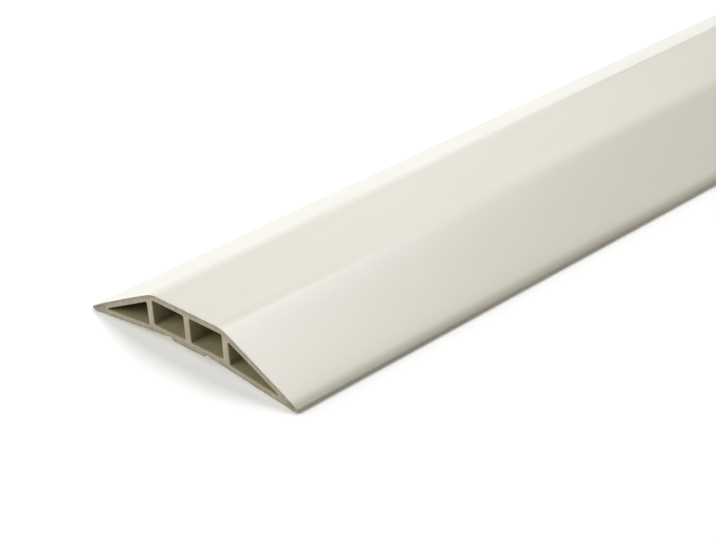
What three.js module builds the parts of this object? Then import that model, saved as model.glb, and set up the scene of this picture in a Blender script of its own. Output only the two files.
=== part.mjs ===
// Floor cord cover: one length of flexible PVC extrusion that lies over cords on a floor.
// A low, wide section with a flat top, two long sloped wings and round lips. Three webs part its
// hollow into four cord channels. Its underside rises from its two lips, on which it stands, to a flat
// strip for tape in the middle. A score groove runs on each side of the strip, where the base can be
// slit to push a cord in from below.
// Millimetres. X runs along the length, Y across the width and Z up from the floor.

import * as THREE from "three";

// Overall sizes
const length = 914;
const width = 76;
const height = 13.2;

// Upper surface
const ridgeSpacing = 25.2; // between the two ridges, where the flat top would meet the wings
const ridgeRadius = 10;
const lipRadius = 0.85; // round edge of each lip, which is twice this thick

// Underside
const stripWidth = 11; // flat strip for tape, between the two score grooves
const stripHeight = 2.5; // over the floor
const archRise = 3; // height of the sloped underside over the floor, where it meets the grooves
const footWidth = 1.2; // flat strip under each lip, on which the cover stands
const grooveRoot = 6.8; // from the middle of the cover to the root of each groove
const grooveWidth = 2.7;
const grooveDepth = 0.85; // from the flat strip
const grooveRootRadius = 0.3;

// Walls
const topWall = 1.9;
const wingWall = 1.75;
const baseWall = 2.3; // under the two middle channels
const wingBaseWall = 1.7; // under the two wing channels
const webThickness = 2.2;
const webSpacing = 13.8; // from the middle web to each outer web, centre to centre
const channelCornerRadius = 0.4;
const wingChannelTipRadius = 0.2; // in the sharp outer end of each wing channel

// Points worked out for each round stretch, per quarter of its curve
const curveSegments = 5;

// Places that follow from the sizes above
const lipCentre = width / 2 - lipRadius;
const channelCeiling = height - topWall;
const channelFloor = stripHeight + baseWall;
const wingAngle = wingSlope();
const grooveEdge = stripWidth / 2 + grooveWidth;
const archAngle = Math.atan2(archRise, lipCentre - footWidth - grooveEdge);

// The angle of a wing under the horizontal: its surface runs from the ridge and touches the lip's circle.
function wingSlope() {
  const across = lipCentre - ridgeSpacing / 2;
  const down = height - lipRadius;
  return Math.atan2(down, across) - Math.asin(lipRadius / Math.hypot(across, down));
}

// Height of the wing's upper surface at a distance from the middle of the cover.
function wingTop(across) {
  return height - (across - ridgeSpacing / 2) * Math.tan(wingAngle);
}

// Height of the sloped underside at a distance from the middle of the cover.
function wingUnderside(across) {
  return archRise - (across - grooveEdge) * Math.tan(archAngle);
}

// A corner of an outline, to be rounded with a radius, or left sharp with a radius of 0.
function corner(y, z, radius = 0) {
  return { point: new THREE.Vector2(y, z), radius };
}

// The same corners on the other side of the middle, in the order that keeps the outline's direction.
function mirrored(corners) {
  return corners.map(({ point, radius }) => corner(-point.x, point.y, radius)).reverse();
}

// Draws a closed outline through the corners. A round corner is the arc that touches both its sides. Where
// the arcs at the two ends of a side would overlap, both radii shrink until they meet.
function drawOutline(path, corners) {
  const next = (list, i) => list[(i + 1) % list.length];
  const sides = corners.map(({ point }, i) => point.clone().sub(corners.at(i - 1).point));
  const turns = sides.map((side, i) => Math.atan2(side.cross(next(sides, i)), side.dot(next(sides, i))));
  const cuts = turns.map((turn, i) => corners[i].radius * Math.tan(Math.abs(turn) / 2));
  const shares = sides.map((side, i) => Math.min(1, side.length() / (cuts.at(i - 1) + cuts[i])));
  corners.forEach(({ point, radius }, i) => {
    const share = Math.min(shares[i], next(shares, i));
    const direction = sides[i].clone().normalize();
    const start = point.clone().addScaledVector(direction, -share * cuts[i]);
    if (i === 0) path.moveTo(start.x, start.y);
    else path.lineTo(start.x, start.y);
    if (radius === 0) return;
    const toCentre = new THREE.Vector2(-direction.y, direction.x).multiplyScalar(Math.sign(turns[i]));
    const centre = start.clone().addScaledVector(toCentre, share * radius);
    const startAngle = Math.atan2(-toCentre.y, -toCentre.x);
    path.absarc(centre.x, centre.y, share * radius, startAngle, startAngle + turns[i], turns[i] < 0);
  });
  path.closePath();
  return path;
}

// The outer outline of the section, anticlockwise from the middle of the underside.
function outerOutline() {
  const half = [
    corner(stripWidth / 2, stripHeight),
    corner(grooveRoot, stripHeight + grooveDepth, grooveRootRadius),
    corner(grooveEdge, archRise),
    corner(lipCentre - footWidth, 0),
    corner(ridgeSpacing / 2 + height / Math.tan(wingAngle), 0, lipRadius),
    corner(ridgeSpacing / 2, height, ridgeRadius),
  ];
  return [...half, ...mirrored(half)];
}

// One of the two middle channels, on the positive side: a rectangle between two webs.
function middleChannel() {
  const inner = webThickness / 2;
  const outer = webSpacing - webThickness / 2;
  return [
    corner(inner, channelFloor, channelCornerRadius),
    corner(outer, channelFloor, channelCornerRadius),
    corner(outer, channelCeiling, channelCornerRadius),
    corner(inner, channelCeiling, channelCornerRadius),
  ];
}

// One of the two wing channels, on the positive side: a triangle between the outer web, the wing and
// the base. Its outer end lies where the wing's inner face meets the base's inner face.
function wingChannel() {
  const web = webSpacing + webThickness / 2;
  const floorAtWeb = wingUnderside(web) + wingBaseWall / Math.cos(archAngle);
  const ceilingAtWeb = wingTop(web) - wingWall / Math.cos(wingAngle);
  const reach = (ceilingAtWeb - floorAtWeb) / (Math.tan(wingAngle) - Math.tan(archAngle));
  return [
    corner(web, floorAtWeb, channelCornerRadius),
    corner(web + reach, floorAtWeb - reach * Math.tan(archAngle), wingChannelTipRadius),
    corner(web, ceilingAtWeb, channelCornerRadius),
  ];
}

// The whole section, with its four channels.
function coverSection() {
  const section = drawOutline(new THREE.Shape(), outerOutline());
  for (const channel of [middleChannel(), wingChannel()]) {
    section.holes.push(drawOutline(new THREE.Path(), channel));
    section.holes.push(drawOutline(new THREE.Path(), mirrored(channel)));
  }
  return section;
}

const ivoryVinyl = new THREE.MeshStandardMaterial({ color: 0xe4e2d4, roughness: 0.5, metalness: 0 });

// The section is drawn across and up, and extruded along the cover. The turn lays it along X.
const cover = new THREE.Mesh(
  new THREE.ExtrudeGeometry(coverSection(), { depth: length, bevelEnabled: false, curveSegments }),
  ivoryVinyl,
);
cover.name = "cord_cover";
cover.rotation.set(Math.PI / 2, Math.PI / 2, 0);
cover.position.x = -length / 2;

const cordCover = new THREE.Group();
cordCover.add(cover);

export default cordCover;
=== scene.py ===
import bpy
import numpy as np
from mathutils import Matrix, Vector
from mathutils.geometry import delaunay_2d_cdt


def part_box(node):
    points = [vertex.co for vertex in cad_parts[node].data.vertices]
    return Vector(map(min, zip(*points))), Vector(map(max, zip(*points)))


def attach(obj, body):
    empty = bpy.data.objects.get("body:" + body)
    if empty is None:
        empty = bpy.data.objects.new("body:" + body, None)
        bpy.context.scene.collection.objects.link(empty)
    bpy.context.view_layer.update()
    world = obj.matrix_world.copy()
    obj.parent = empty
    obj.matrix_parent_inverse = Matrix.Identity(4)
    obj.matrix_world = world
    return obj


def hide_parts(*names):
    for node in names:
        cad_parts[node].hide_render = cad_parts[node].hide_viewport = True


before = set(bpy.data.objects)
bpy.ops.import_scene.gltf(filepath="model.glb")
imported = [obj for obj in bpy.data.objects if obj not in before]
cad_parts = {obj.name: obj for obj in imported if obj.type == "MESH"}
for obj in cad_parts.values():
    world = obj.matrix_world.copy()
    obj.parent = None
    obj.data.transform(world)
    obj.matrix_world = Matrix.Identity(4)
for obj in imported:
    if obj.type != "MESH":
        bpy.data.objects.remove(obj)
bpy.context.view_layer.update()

MM = 0.001

# Overall sizes of the section, in millimetres, as in the CAD part
WIDTH = 76
HEIGHT = 13.2
RIDGE_SPACING = 25.2
RIDGE_RADIUS = 10
LIP_RADIUS = 0.85

# Underside, in millimetres
STRIP_WIDTH = 11
STRIP_HEIGHT = 2.5
ARCH_RISE = 3
FOOT_WIDTH = 1.2
GROOVE_ROOT = 6.8
GROOVE_WIDTH = 2.7
GROOVE_DEPTH = 0.85
GROOVE_ROOT_RADIUS = 0.3

# Walls, in millimetres
TOP_WALL = 1.9
WING_WALL = 1.75
BASE_WALL = 2.3
WING_BASE_WALL = 1.7
WEB_THICKNESS = 2.2
WEB_SPACING = 13.8
CHANNEL_CORNER_RADIUS = 0.4
WING_CHANNEL_TIP_RADIUS = 0.2

# Small forms that the CAD part leaves sharp or flat, in millimetres
EDGE_RADIUS = 0.25  # along the score grooves and the feet
CUT_RADIUS = 0.2  # round the square-cut ends
TOP_SINK = 0.05  # how far the top sinks between the webs that carry it
WING_CROWN = 0.16  # how far a wing bulges over a straight line from the ridge to its edge
WING_CROWN_END = 36  # where the bulge ends, from the middle
WING_CROWN_LEAN = 0.63  # a power without a unit: under 1 it moves the bulge towards the ridge
LIP_DROOP = 0.32  # how far the outer edge bends down before the lip
LIP_DROOP_START = 33  # where it starts to bend, from the middle

# How finely the section and the length are divided
ARC_STEPS = 14
SIDE_STEPS = 10
CHANNEL_ARC_STEPS = 6
CHANNEL_SIDE_STEPS = 6
CUT_STEPS = 4
LENGTH_STEPS = 40

# How the cut ends are filled: the kind of result, and how near two points count as one, in millimetres
TRIANGLES_INSIDE = 1
SAME_SPOT = 1e-6

# The three finishes, in the order of the piece's materials
OUTSIDE = 0
CUT = 1
CHANNEL = 2

# Slopes and places that follow from the sizes
LIP_CENTRE = WIDTH / 2 - LIP_RADIUS
ACROSS_WING = LIP_CENTRE - RIDGE_SPACING / 2
DOWN_WING = HEIGHT - LIP_RADIUS
WING_SLOPE = np.tan(
    np.arctan2(DOWN_WING, ACROSS_WING) - np.arcsin(LIP_RADIUS / np.hypot(ACROSS_WING, DOWN_WING))
)
GROOVE_EDGE = STRIP_WIDTH / 2 + GROOVE_WIDTH
ARCH_SLOPE = ARCH_RISE / (LIP_CENTRE - FOOT_WIDTH - GROOVE_EDGE)


def wing_top(across):
    """Height of a wing's upper surface: it falls from the ridge with the wing's slope."""
    return HEIGHT - (across - RIDGE_SPACING / 2) * WING_SLOPE


def mirrored(corners):
    """The same corners on the other side of the middle, in the order that keeps their direction."""
    return corners[::-1] * (-1, 1, 1)


def outer_corners():
    """Corners of the outer outline, anticlockwise from the middle of the base, as rows of y, z, radius."""
    half = np.array([
        (STRIP_WIDTH / 2, STRIP_HEIGHT, EDGE_RADIUS),
        (GROOVE_ROOT, STRIP_HEIGHT + GROOVE_DEPTH, GROOVE_ROOT_RADIUS),
        (GROOVE_EDGE, ARCH_RISE, EDGE_RADIUS),
        (LIP_CENTRE - FOOT_WIDTH, 0, EDGE_RADIUS),
        (RIDGE_SPACING / 2 + HEIGHT / WING_SLOPE, 0, LIP_RADIUS),
        (RIDGE_SPACING / 2, HEIGHT, RIDGE_RADIUS),
    ])
    return np.vstack([half, mirrored(half)])


def middle_channel():
    """Corners of a middle channel, clockwise: a rectangle between two webs."""
    inner = WEB_THICKNESS / 2
    outer = WEB_SPACING - WEB_THICKNESS / 2
    floor = STRIP_HEIGHT + BASE_WALL
    ceiling = HEIGHT - TOP_WALL
    radius = CHANNEL_CORNER_RADIUS
    return np.array([
        (inner, ceiling, radius),
        (outer, ceiling, radius),
        (outer, floor, radius),
        (inner, floor, radius),
    ])


def wing_channel():
    """Corners of a wing channel, clockwise: a triangle between the outer web, the wing and the base."""
    web = WEB_SPACING + WEB_THICKNESS / 2
    underside = ARCH_RISE - (web - GROOVE_EDGE) * ARCH_SLOPE
    floor = underside + WING_BASE_WALL * np.hypot(1, ARCH_SLOPE)
    ceiling = wing_top(web) - WING_WALL * np.hypot(1, WING_SLOPE)
    reach = (ceiling - floor) / (WING_SLOPE - ARCH_SLOPE)
    return np.array([
        (web, ceiling, CHANNEL_CORNER_RADIUS),
        (web + reach, floor - reach * ARCH_SLOPE, WING_CHANNEL_TIP_RADIUS),
        (web, floor, CHANNEL_CORNER_RADIUS),
    ])


def outline(corners, arc_steps, side_steps):
    """Points and outward normals of a closed outline that has its material on the left.

    A corner is the arc that touches both its sides. With a turn t between the sides, the arc starts
    radius * tan(|t| / 2) before the corner, its centre lies one radius off the side, and it sweeps t.
    The straight side after it has points at (1 - cos(pi * u)) / 2 of its length, closer at its ends.
    """
    point = corners[:, :2]
    radius = corners[:, 2:]
    side = point - np.roll(point, 1, axis=0)
    before = side / np.linalg.norm(side, axis=1, keepdims=True)
    after = np.roll(before, -1, axis=0)
    crossed = before[:, 0] * after[:, 1] - before[:, 1] * after[:, 0]
    turn = np.arctan2(crossed, (before * after).sum(axis=1))[:, None]
    start = point - before * radius * np.tan(np.abs(turn) / 2)
    way = np.sign(turn)
    to_centre = np.stack([-before[:, 1], before[:, 0]], axis=1) * way
    centre = start + to_centre * radius
    angle = np.arctan2(-to_centre[:, 1:], -to_centre[:, :1]) + turn * np.linspace(0, 1, arc_steps)
    ray = np.stack([np.cos(angle), np.sin(angle)], axis=2)
    arc = centre[:, None] + ray * radius[:, None]
    share = (1 - np.cos(np.pi * np.arange(1, side_steps) / side_steps))[None, :, None] / 2
    straight = arc[:, -1:] + (np.roll(arc[:, :1], -1, axis=0) - arc[:, -1:]) * share
    flat = np.broadcast_to(np.stack([after[:, 1], -after[:, 0]], axis=1)[:, None], straight.shape)
    points = np.concatenate([arc, straight], axis=1).reshape(-1, 2)
    normals = np.concatenate([ray * way[:, None], flat], axis=1).reshape(-1, 2)
    return points, normals


def out_of_true(points, normals):
    """The outer outline with its upper side a little out of true, as a cooled extrusion is.

    The top sinks by TOP_SINK * sin^2 between its webs. A wing bulges by
    WING_CROWN * sin^2(pi * u^WING_CROWN_LEAN), where u runs from 0 at the ridge to 1 at its edge, so that
    it is fullest a third of the way down. The outer edge droops with the square of the distance. Each is
    weighted by how far the surface faces up, so that it fades out round the lip.
    """
    across = np.abs(points[:, 0])
    ridge = RIDGE_SPACING / 2
    on_top = across < WEB_SPACING
    down_wing = np.clip((across - ridge) / (WING_CROWN_END - ridge), 0, 1)
    past_start = np.clip(across - LIP_DROOP_START, 0, None) / (LIP_CENTRE - LIP_DROOP_START)
    top = TOP_SINK * np.sin(np.pi * across / WEB_SPACING) ** 2 * on_top
    crown = WING_CROWN * np.sin(np.pi * down_wing ** WING_CROWN_LEAN) ** 2
    droop = LIP_DROOP * past_start ** 2
    down = (top - crown + droop) * np.clip(normals[:, 1], 0, 1)
    return points - np.stack([0 * across, down], axis=1)


def stations():
    """Places along X from one cut end to the other, and how far the outline is drawn in at each.

    A cut edge is a quarter circle: at an angle a it is r * (1 - sin(a)) from the end and drawn in by
    r * (1 - cos(a)). One station close behind it keeps its shading off the long faces.
    """
    angle = np.linspace(0, np.pi / 2, CUT_STEPS + 1)[::-1]
    to_end = CUT_RADIUS * (1 - np.sin(angle))
    inset = CUT_RADIUS * (1 - np.cos(angle))
    half = (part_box("cord_cover")[1].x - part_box("cord_cover")[0].x) / 2 / MM
    begin = np.append(-half + to_end, -half + 2 * CUT_RADIUS)
    middle = np.linspace(-half, half, LENGTH_STEPS + 1)[1:-1]
    along = np.concatenate([begin, middle, -begin[::-1]])
    drawn = np.concatenate([inset, np.zeros(len(middle) + 2), inset[::-1]])
    return along, drawn


def swept(points, normals, along, drawn):
    """The outline carried along X: at a station x it is points - drawn * normals."""
    section = points[None] - drawn[:, None, None] * normals[None]
    x = np.broadcast_to(along[:, None, None], section.shape[:2] + (1,))
    return np.concatenate([x, section], axis=2)


def tube_faces(station_count, count, first):
    """Quads of a swept outline: each station's points join the next station's, and the last the first."""
    row = np.arange(station_count - 1)[:, None] * count + first
    here = np.arange(count)[None]
    ahead = (here + 1) % count
    return np.stack([row + here, row + ahead, row + count + ahead, row + count + here], axis=2).reshape(-1, 4)


def end_triangles(rings):
    """Triangles of the flat cut end between the outer outline and the channels, anticlockwise from +X.

    They are the Delaunay triangles that keep every side of each ring, without those that fill a channel:
    a channel's outline is convex, so these are the ones that have all three corners on it.
    """
    counts = [len(ring) for ring in rings]
    first = np.repeat(np.cumsum([0] + counts[:-1]), counts)
    here = np.arange(len(first))
    ahead = (here - first + 1) % np.repeat(counts, counts) + first
    spots = [Vector(spot) for spot in np.vstack(rings)]
    sides = np.stack([here, ahead], axis=1).tolist()
    found = np.array(delaunay_2d_cdt(spots, sides, [], TRIANGLES_INSIDE, SAME_SPOT)[2])
    ring = first[found]
    on_one = (ring[:, 0] == ring[:, 1]) & (ring[:, 0] == ring[:, 2])
    return found[~on_one | (ring[:, 0] == 0)]


def cover_mesh():
    """One closed mesh: the outer outline and the four channels swept along X, and two flat cut ends.

    The attribute "rim" is 1 on the outer outline and 0 on the channels, so that it runs from 0 to 1
    across each wall of a cut end.
    """
    points, normals = outline(outer_corners(), ARC_STEPS, SIDE_STEPS)
    outlines = [(out_of_true(points, normals), normals)]
    for channel in (middle_channel(), wing_channel()):
        for corners in (channel, mirrored(channel)):
            outlines.append(outline(corners, CHANNEL_ARC_STEPS, CHANNEL_SIDE_STEPS))
    along, drawn = stations()
    grids = [swept(*one, along, drawn) for one in outlines]
    counts = np.array([grid.shape[1] for grid in grids])
    first = np.append(0, np.cumsum(counts * len(along)))
    quads = np.vstack([tube_faces(len(along), count, at) for count, at in zip(counts, first)])
    flat = end_triangles([grid[0, :, 1:] for grid in grids])
    low = np.concatenate([at + np.arange(count) for count, at in zip(counts, first)])
    high = low + np.repeat(counts * (len(along) - 1), counts)
    vertices = np.vstack([grid.reshape(-1, 3) for grid in grids]) * MM
    faces = quads.tolist() + low[flat[:, ::-1]].tolist() + high[flat].tolist()
    mesh = bpy.data.meshes.new("cord_cover_extrusion")
    mesh.from_pydata(vertices.tolist(), [], faces)
    face = np.arange(len(faces))
    outer_count = counts[0] * (len(along) - 1)
    finish = np.select([face >= len(quads), face >= outer_count], [CUT, CHANNEL], OUTSIDE)
    mesh.polygons.foreach_set("use_smooth", finish != CUT)
    mesh.polygons.foreach_set("material_index", finish.astype(np.int32))
    rim = mesh.attributes.new("rim", "FLOAT", "POINT")
    rim.data.foreach_set("value", (np.arange(len(vertices)) < first[1]).astype(np.float32))
    return mesh


# The curve that turns an sRGB value to a linear one: a straight foot, and a power above it
SRGB_FOOT = 0.04045
SRGB_FOOT_SLOPE = 12.92
SRGB_OFFSET = 0.055
SRGB_POWER = 2.4


def linear(hex_colour):
    """An sRGB hex colour as the linear colour that a shader takes."""
    srgb = np.array([int(hex_colour[k:k + 2], 16) for k in (1, 3, 5)]) / 255
    above = ((srgb + SRGB_OFFSET) / (1 + SRGB_OFFSET)) ** SRGB_POWER
    rgb = np.where(srgb <= SRGB_FOOT, srgb / SRGB_FOOT_SLOPE, above)
    return (*rgb.tolist(), 1.0)


def add(tree, kind, inputs=(), **settings):
    """Adds a node. Each input, by its name or number, gets a value or is linked to another node's output."""
    made = tree.nodes.new(kind)
    for name, value in settings.items():
        setattr(made, name, value)
    for name, value in dict(inputs).items():
        if isinstance(value, bpy.types.NodeSocket):
            tree.links.new(value, made.inputs[name])
        else:
            made.inputs[name].default_value = value
    return made


# The range that a noise seldom leaves
NOISE_LOW = 0.3
NOISE_HIGH = 0.7


def unevenness(tree, place, pattern):
    """One of the patterns below, as a noise with lumps of its size, stretched to run from 0 to 1."""
    *size_mm, detail = pattern
    scale = [1 / (size * MM) for size in size_mm]
    mapped = add(tree, "ShaderNodeMapping", {"Vector": place, "Scale": scale})
    raw = add(tree, "ShaderNodeTexNoise", {"Vector": mapped.outputs[0], "Scale": 1.0, "Detail": detail})
    span = {"Value": raw.outputs[0], "From Min": NOISE_LOW, "From Max": NOISE_HIGH}
    return add(tree, "ShaderNodeMapRange", span).outputs[0]


def new_material(name):
    """An empty material with its node tree and the object's coordinates."""
    material = bpy.data.materials.new(name)
    material.use_nodes = True
    tree = material.node_tree
    tree.nodes.clear()
    place = add(tree, "ShaderNodeTexCoord").outputs["Object"]
    return material, tree, place


def finish_material(tree, colour, roughness, **others):
    """Ends a material in a principled shader, which gets the others by its sockets' names."""
    inputs = {"Base Color": colour, "Roughness": roughness, **others}
    shader = add(tree, "ShaderNodeBsdfPrincipled", inputs)
    add(tree, "ShaderNodeOutputMaterial", {"Surface": shader.outputs[0]})


# The sockets of a Mix node that carry its share and its colours
SHARE = 0
ONE = 6
OTHER = 7
MIXED = 2

# Patterns: size of the lumps along X, Y and Z in millimetres, and how much finer detail they have.
# Real die lines, satin grain and saw lines are a tenth of a millimetre wide or less, too fine to show,
# so they are drawn three to ten times as coarse.
DIE_LINES = (240, 1.1, 1.1, 2.0)
DIE_BANDS = (420, 7, 7, 1.0)
CLOUDS = (34, 22, 22, 3.0)
SATIN_GRAIN = (0.45, 0.35, 0.35, 2.0)
CHANNEL_LINES = (120, 0.9, 0.9, 2.0)
TOOTH_LINES = (1, 0.35, 5, 2.0)
CUT_CLOUDS = (1.6, 1.6, 1.6, 3.0)

# How deep the patterns are, in millimetres
DIE_LINE_DEPTH = 0.004
SATIN_GRAIN_DEPTH = 0.0012
CHANNEL_LINE_DEPTH = 0.02
TOOTH_LINE_DEPTH = 0.03

# Where shade is painted on the lips and feet, darker towards the floor, in millimetres
LIP_SHADE_HEIGHT = 2.9  # over the floor: below it the painted shade begins
LIP_SHADE_FULL = 0.5  # over the floor: below it the painted shade is full
LIP_SHADE_START = 34  # from the middle, so that the arched underside gets no painted shade
LIP_SHADE_END = 36  # from the middle: beyond it the height alone counts

# Flexible PVC: its refraction, the sheen that a polished die gives it, and the roughness of its finishes
PVC_IOR = 1.53
DIE_SHEEN = {"Coat Weight": 0.85, "Coat Roughness": 0.3}
DIE_ROUGHNESS = {"To Min": 0.3, "To Max": 0.42}
CHANNEL_ROUGHNESS = 0.6
CUT_ROUGHNESS = {"To Min": 0.6, "To Max": 0.8}


def extruded_ivory_pvc():
    """Flexible PVC, coloured through and extruded through a polished die. It gives the eye a warm ivory
    with a satin sheen, faint lines and bands along the length from the die, a soft cloudiness, and lips
    and feet painted darker towards the floor, a painted shade for the little light that reaches them there."""
    material, tree, place = new_material("extruded_ivory_flexible_pvc")
    die_lines = unevenness(tree, place, DIE_LINES)
    die_bands = unevenness(tree, place, DIE_BANDS)
    clouds = unevenness(tree, place, CLOUDS)
    grain = unevenness(tree, place, SATIN_GRAIN)
    body = add(
        tree, "ShaderNodeMix",
        {SHARE: clouds, ONE: linear("#DCD9C9"), OTHER: linear("#E0DDCF")},
        data_type="RGBA",
    ).outputs[MIXED]
    plain_colour = add(
        tree, "ShaderNodeMix",
        {SHARE: die_bands, ONE: body, OTHER: linear("#DEDBCD")},
        data_type="RGBA",
    ).outputs[MIXED]
    # Painted shade: a darker, mottled colour for the shade on the lips and feet near the floor.
    painted_lip_shade_colour = add(
        tree, "ShaderNodeMix",
        {SHARE: clouds, ONE: linear("#857D66"), OTHER: linear("#979078")},
        data_type="RGBA",
    ).outputs[MIXED]
    spot = add(tree, "ShaderNodeSeparateXYZ", {"Vector": place}).outputs
    across = add(tree, "ShaderNodeMath", {0: spot["Y"]}, operation="ABSOLUTE").outputs[0]
    # Where the painted shade falls: low down and far out, on the lips and feet.
    low = add(
        tree, "ShaderNodeMapRange",
        {"Value": spot["Z"], "From Min": LIP_SHADE_HEIGHT * MM, "From Max": LIP_SHADE_FULL * MM},
        interpolation_type="SMOOTHSTEP",
    ).outputs[0]
    far_out = add(
        tree, "ShaderNodeMapRange",
        {"Value": across, "From Min": LIP_SHADE_START * MM, "From Max": LIP_SHADE_END * MM},
        interpolation_type="SMOOTHSTEP",
    ).outputs[0]
    painted_lip_shade = add(tree, "ShaderNodeMath", {0: low, 1: far_out}, operation="MULTIPLY").outputs[0]
    colour = add(
        tree, "ShaderNodeMix",
        {SHARE: painted_lip_shade, ONE: plain_colour, OTHER: painted_lip_shade_colour},
        data_type="RGBA",
    ).outputs[MIXED]
    roughness = add(tree, "ShaderNodeMapRange", {"Value": die_lines, **DIE_ROUGHNESS}).outputs[0]
    lines = add(
        tree, "ShaderNodeBump",
        {"Height": die_lines, "Distance": DIE_LINE_DEPTH * MM, "Strength": 1.0},
    )
    satin = add(
        tree, "ShaderNodeBump",
        {
            "Height": grain,
            "Distance": SATIN_GRAIN_DEPTH * MM,
            "Strength": 1.0,
            "Normal": lines.outputs[0],
        },
    )
    finish_material(tree, colour, roughness, Normal=satin.outputs[0], IOR=PVC_IOR, **DIE_SHEEN)
    return material


def channel_ivory_pvc_painted_shade():
    """The same PVC inside the channels, where no sizing tool touched it. It gives the eye dull walls with
    faint lines along the length. Its colours are painted shade: darker than the outside for the shade deep
    in the channels, and paler on the floors, which face up, for the light that falls on them."""
    material, tree, place = new_material("channel_ivory_flexible_pvc_painted_shade")
    lines = unevenness(tree, place, CHANNEL_LINES)
    # Painted shade: the channel colours are darker than the outside, for the shade deep in the channels.
    walls = add(
        tree, "ShaderNodeMix",
        {SHARE: lines, ONE: linear("#847B5E"), OTHER: linear("#8D8568")},
        data_type="RGBA",
    ).outputs[MIXED]
    floors = add(
        tree, "ShaderNodeMix",
        {SHARE: lines, ONE: linear("#9F9571"), OTHER: linear("#AAA07D")},
        data_type="RGBA",
    ).outputs[MIXED]
    # Painted light: faces that point up are painted paler, for the light that falls on the channel floors.
    facing = add(tree, "ShaderNodeNewGeometry").outputs["Normal"]
    upward = add(tree, "ShaderNodeSeparateXYZ", {"Vector": facing}).outputs["Z"]
    painted_floor_light = add(tree, "ShaderNodeClamp", {"Value": upward}).outputs[0]
    colour = add(
        tree, "ShaderNodeMix",
        {SHARE: painted_floor_light, ONE: walls, OTHER: floors},
        data_type="RGBA",
    ).outputs[MIXED]
    bump = add(
        tree, "ShaderNodeBump",
        {"Height": lines, "Distance": CHANNEL_LINE_DEPTH * MM, "Strength": 1.0},
    )
    finish_material(tree, colour, CHANNEL_ROUGHNESS, Normal=bump.outputs[0], IOR=PVC_IOR)
    return material


def saw_cut_ivory_pvc_painted_shade():
    """The same PVC where a fine saw cut it to length. It gives the eye a dull face with close upright lines
    from the saw's teeth, mottled, and darker towards the outer rim. Its colour is browner and darker than
    the outside: partly the body's colour shown by a matt cut without sheen, partly painted shade for the
    less light that falls on the end."""
    material, tree, place = new_material("saw_cut_ivory_flexible_pvc_painted_shade")
    tooth_lines = unevenness(tree, place, TOOTH_LINES)
    clouds = unevenness(tree, place, CUT_CLOUDS)
    rim = add(tree, "ShaderNodeAttribute", attribute_name="rim").outputs["Fac"]
    # Partly painted shade: the cut end's colours are darker than the outside, for the less light that falls
    # on it.
    plain_colour = add(
        tree, "ShaderNodeMix",
        {SHARE: tooth_lines, ONE: linear("#978E77"), OTHER: linear("#BAB19D")},
        data_type="RGBA",
    ).outputs[MIXED]
    # A darker, mottled colour towards the outer rim of the cut end.
    darker_rim_colour = add(
        tree, "ShaderNodeMix",
        {SHARE: clouds, ONE: linear("#736D59"), OTHER: linear("#A09885")},
        data_type="RGBA",
    ).outputs[MIXED]
    colour = add(
        tree, "ShaderNodeMix",
        {SHARE: rim, ONE: plain_colour, OTHER: darker_rim_colour},
        data_type="RGBA",
    ).outputs[MIXED]
    roughness = add(tree, "ShaderNodeMapRange", {"Value": clouds, **CUT_ROUGHNESS}).outputs[0]
    bump = add(
        tree, "ShaderNodeBump",
        {"Height": tooth_lines, "Distance": TOOTH_LINE_DEPTH * MM, "Strength": 1.0},
    )
    finish_material(tree, colour, roughness, Normal=bump.outputs[0], IOR=PVC_IOR)
    return material


def cord_cover():
    """The one piece: the length of extrusion, in place of the CAD node."""
    piece = bpy.data.objects.new("cord_cover_extrusion", cover_mesh())
    bpy.context.scene.collection.objects.link(piece)
    for material in (extruded_ivory_pvc(), saw_cut_ivory_pvc_painted_shade(), channel_ivory_pvc_painted_shade()):
        piece.data.materials.append(material)
    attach(piece, "root")
    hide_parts("cord_cover")


# Camera, worked out from the photograph's parallel edges and the cut end: metres, millimetres of film
# and degrees
CAMERA_PLACE = (-0.70646, -0.3374, 0.2398)
CAMERA_LENS = 102.353
CAMERA_FILM_WIDTH = 36
CAMERA_DOWN = 27.688
CAMERA_YAW = 47.921
CAMERA_ROLL = 3.926
CAMERA_NEAREST = 0.01


def camera():
    """The camera looks down by CAMERA_DOWN, CAMERA_YAW degrees from +X towards +Y, and is rolled."""
    down, yaw, roll = np.radians([CAMERA_DOWN, CAMERA_YAW, CAMERA_ROLL])
    ahead = Vector((np.cos(yaw) * np.cos(down), np.sin(yaw) * np.cos(down), -np.sin(down)))
    level = Vector((np.sin(yaw), -np.cos(yaw), 0))
    below = ahead.cross(level)
    right = np.cos(roll) * level + np.sin(roll) * below
    bottom = np.cos(roll) * below - np.sin(roll) * level
    data = bpy.data.cameras.new("camera")
    data.sensor_fit = "HORIZONTAL"
    data.sensor_width = CAMERA_FILM_WIDTH
    data.lens = CAMERA_LENS
    data.clip_start = CAMERA_NEAREST
    thing = bpy.data.objects.new("camera", data)
    bpy.context.scene.collection.objects.link(thing)
    turned = Matrix((right, -bottom, -ahead)).transposed().to_4x4()
    thing.matrix_world = Matrix.Translation(CAMERA_PLACE) @ turned
    bpy.context.scene.camera = thing


# Floor: how far it reaches each way and how far it lies under the feet, in metres, and its finish
FLOOR_REACH = 4.0
FLOOR_DROP = 0.05 * MM
FLOOR_ROUGHNESS = 0.8
FLOOR_GLOW = 0.12
WHITE = (1, 1, 1, 1)


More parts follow.
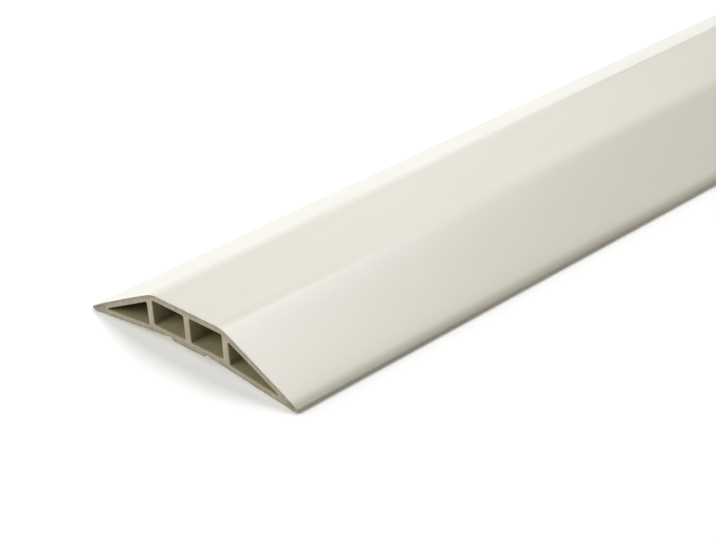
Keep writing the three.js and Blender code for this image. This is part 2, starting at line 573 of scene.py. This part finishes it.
def floor():
    """A plain pale floor, a hair under the cover's feet, that glows a little like a light table."""
    mesh = bpy.data.meshes.new("floor")
    ways = [(-1, -1), (1, -1), (1, 1), (-1, 1)]
    corners = [(x * FLOOR_REACH, y * FLOOR_REACH, -FLOOR_DROP) for x, y in ways]
    mesh.from_pydata(corners, [], [(0, 1, 2, 3)])
    thing = bpy.data.objects.new("floor", mesh)
    bpy.context.scene.collection.objects.link(thing)
    material, tree, place = new_material("matt_white_floor")
    glow = {"Emission Color": WHITE, "Emission Strength": FLOOR_GLOW}
    finish_material(tree, linear("#F9F9F8"), FLOOR_ROUGHNESS, **glow)
    mesh.materials.append(material)


# Lights, 3 m from the middle of the view: the panel's name, its azimuth and elevation in degrees, its
# width in metres and its power in watts
MIDDLE_OF_VIEW = (-0.36, 0.0, 0.0)
LIGHT_DISTANCE = 3.0
LIGHTS = (
    ("overhead_panel", 25, 62, 1.4, 22.0),
    ("ridge_panel", 34, 44, 1.0, 3.2),
    ("near_end_panel", 5, 68, 1.3, 9.0),
    ("right_panel", -60, 50, 3.0, 22.5),
    ("back_panel", 50, 28, 1.5, 6.2),
    ("low_back_panel", 60, 8, 1.5, 5.9),
    ("far_side_panel", 90, 15, 1.5, 27.0),
    ("left_panel", 160, 35, 3.0, 62.0),
)
ROOM_LIGHT = 0.12


def lights():
    """Plain soft studio light: large white panels round the cover, and a pale room."""
    for name, azimuth, elevation, width, power in LIGHTS:
        data = bpy.data.lights.new(name, "AREA")
        data.shape = "SQUARE"
        data.size = width
        data.energy = power
        turn, rise = np.radians([azimuth, elevation])
        way = Vector((np.cos(turn) * np.cos(rise), np.sin(turn) * np.cos(rise), np.sin(rise)))
        thing = bpy.data.objects.new(name, data)
        bpy.context.scene.collection.objects.link(thing)
        thing.location = Vector(MIDDLE_OF_VIEW) + way * LIGHT_DISTANCE
        thing.rotation_euler = way.to_track_quat("Z", "Y").to_euler()
    world = bpy.data.worlds.new("room")
    world.use_nodes = True
    world.node_tree.nodes["Background"].inputs["Color"].default_value = WHITE
    world.node_tree.nodes["Background"].inputs["Strength"].default_value = ROOM_LIGHT
    bpy.context.scene.world = world
    bpy.context.scene.view_settings.view_transform = "Standard"


camera()
cord_cover()
floor()
lights()
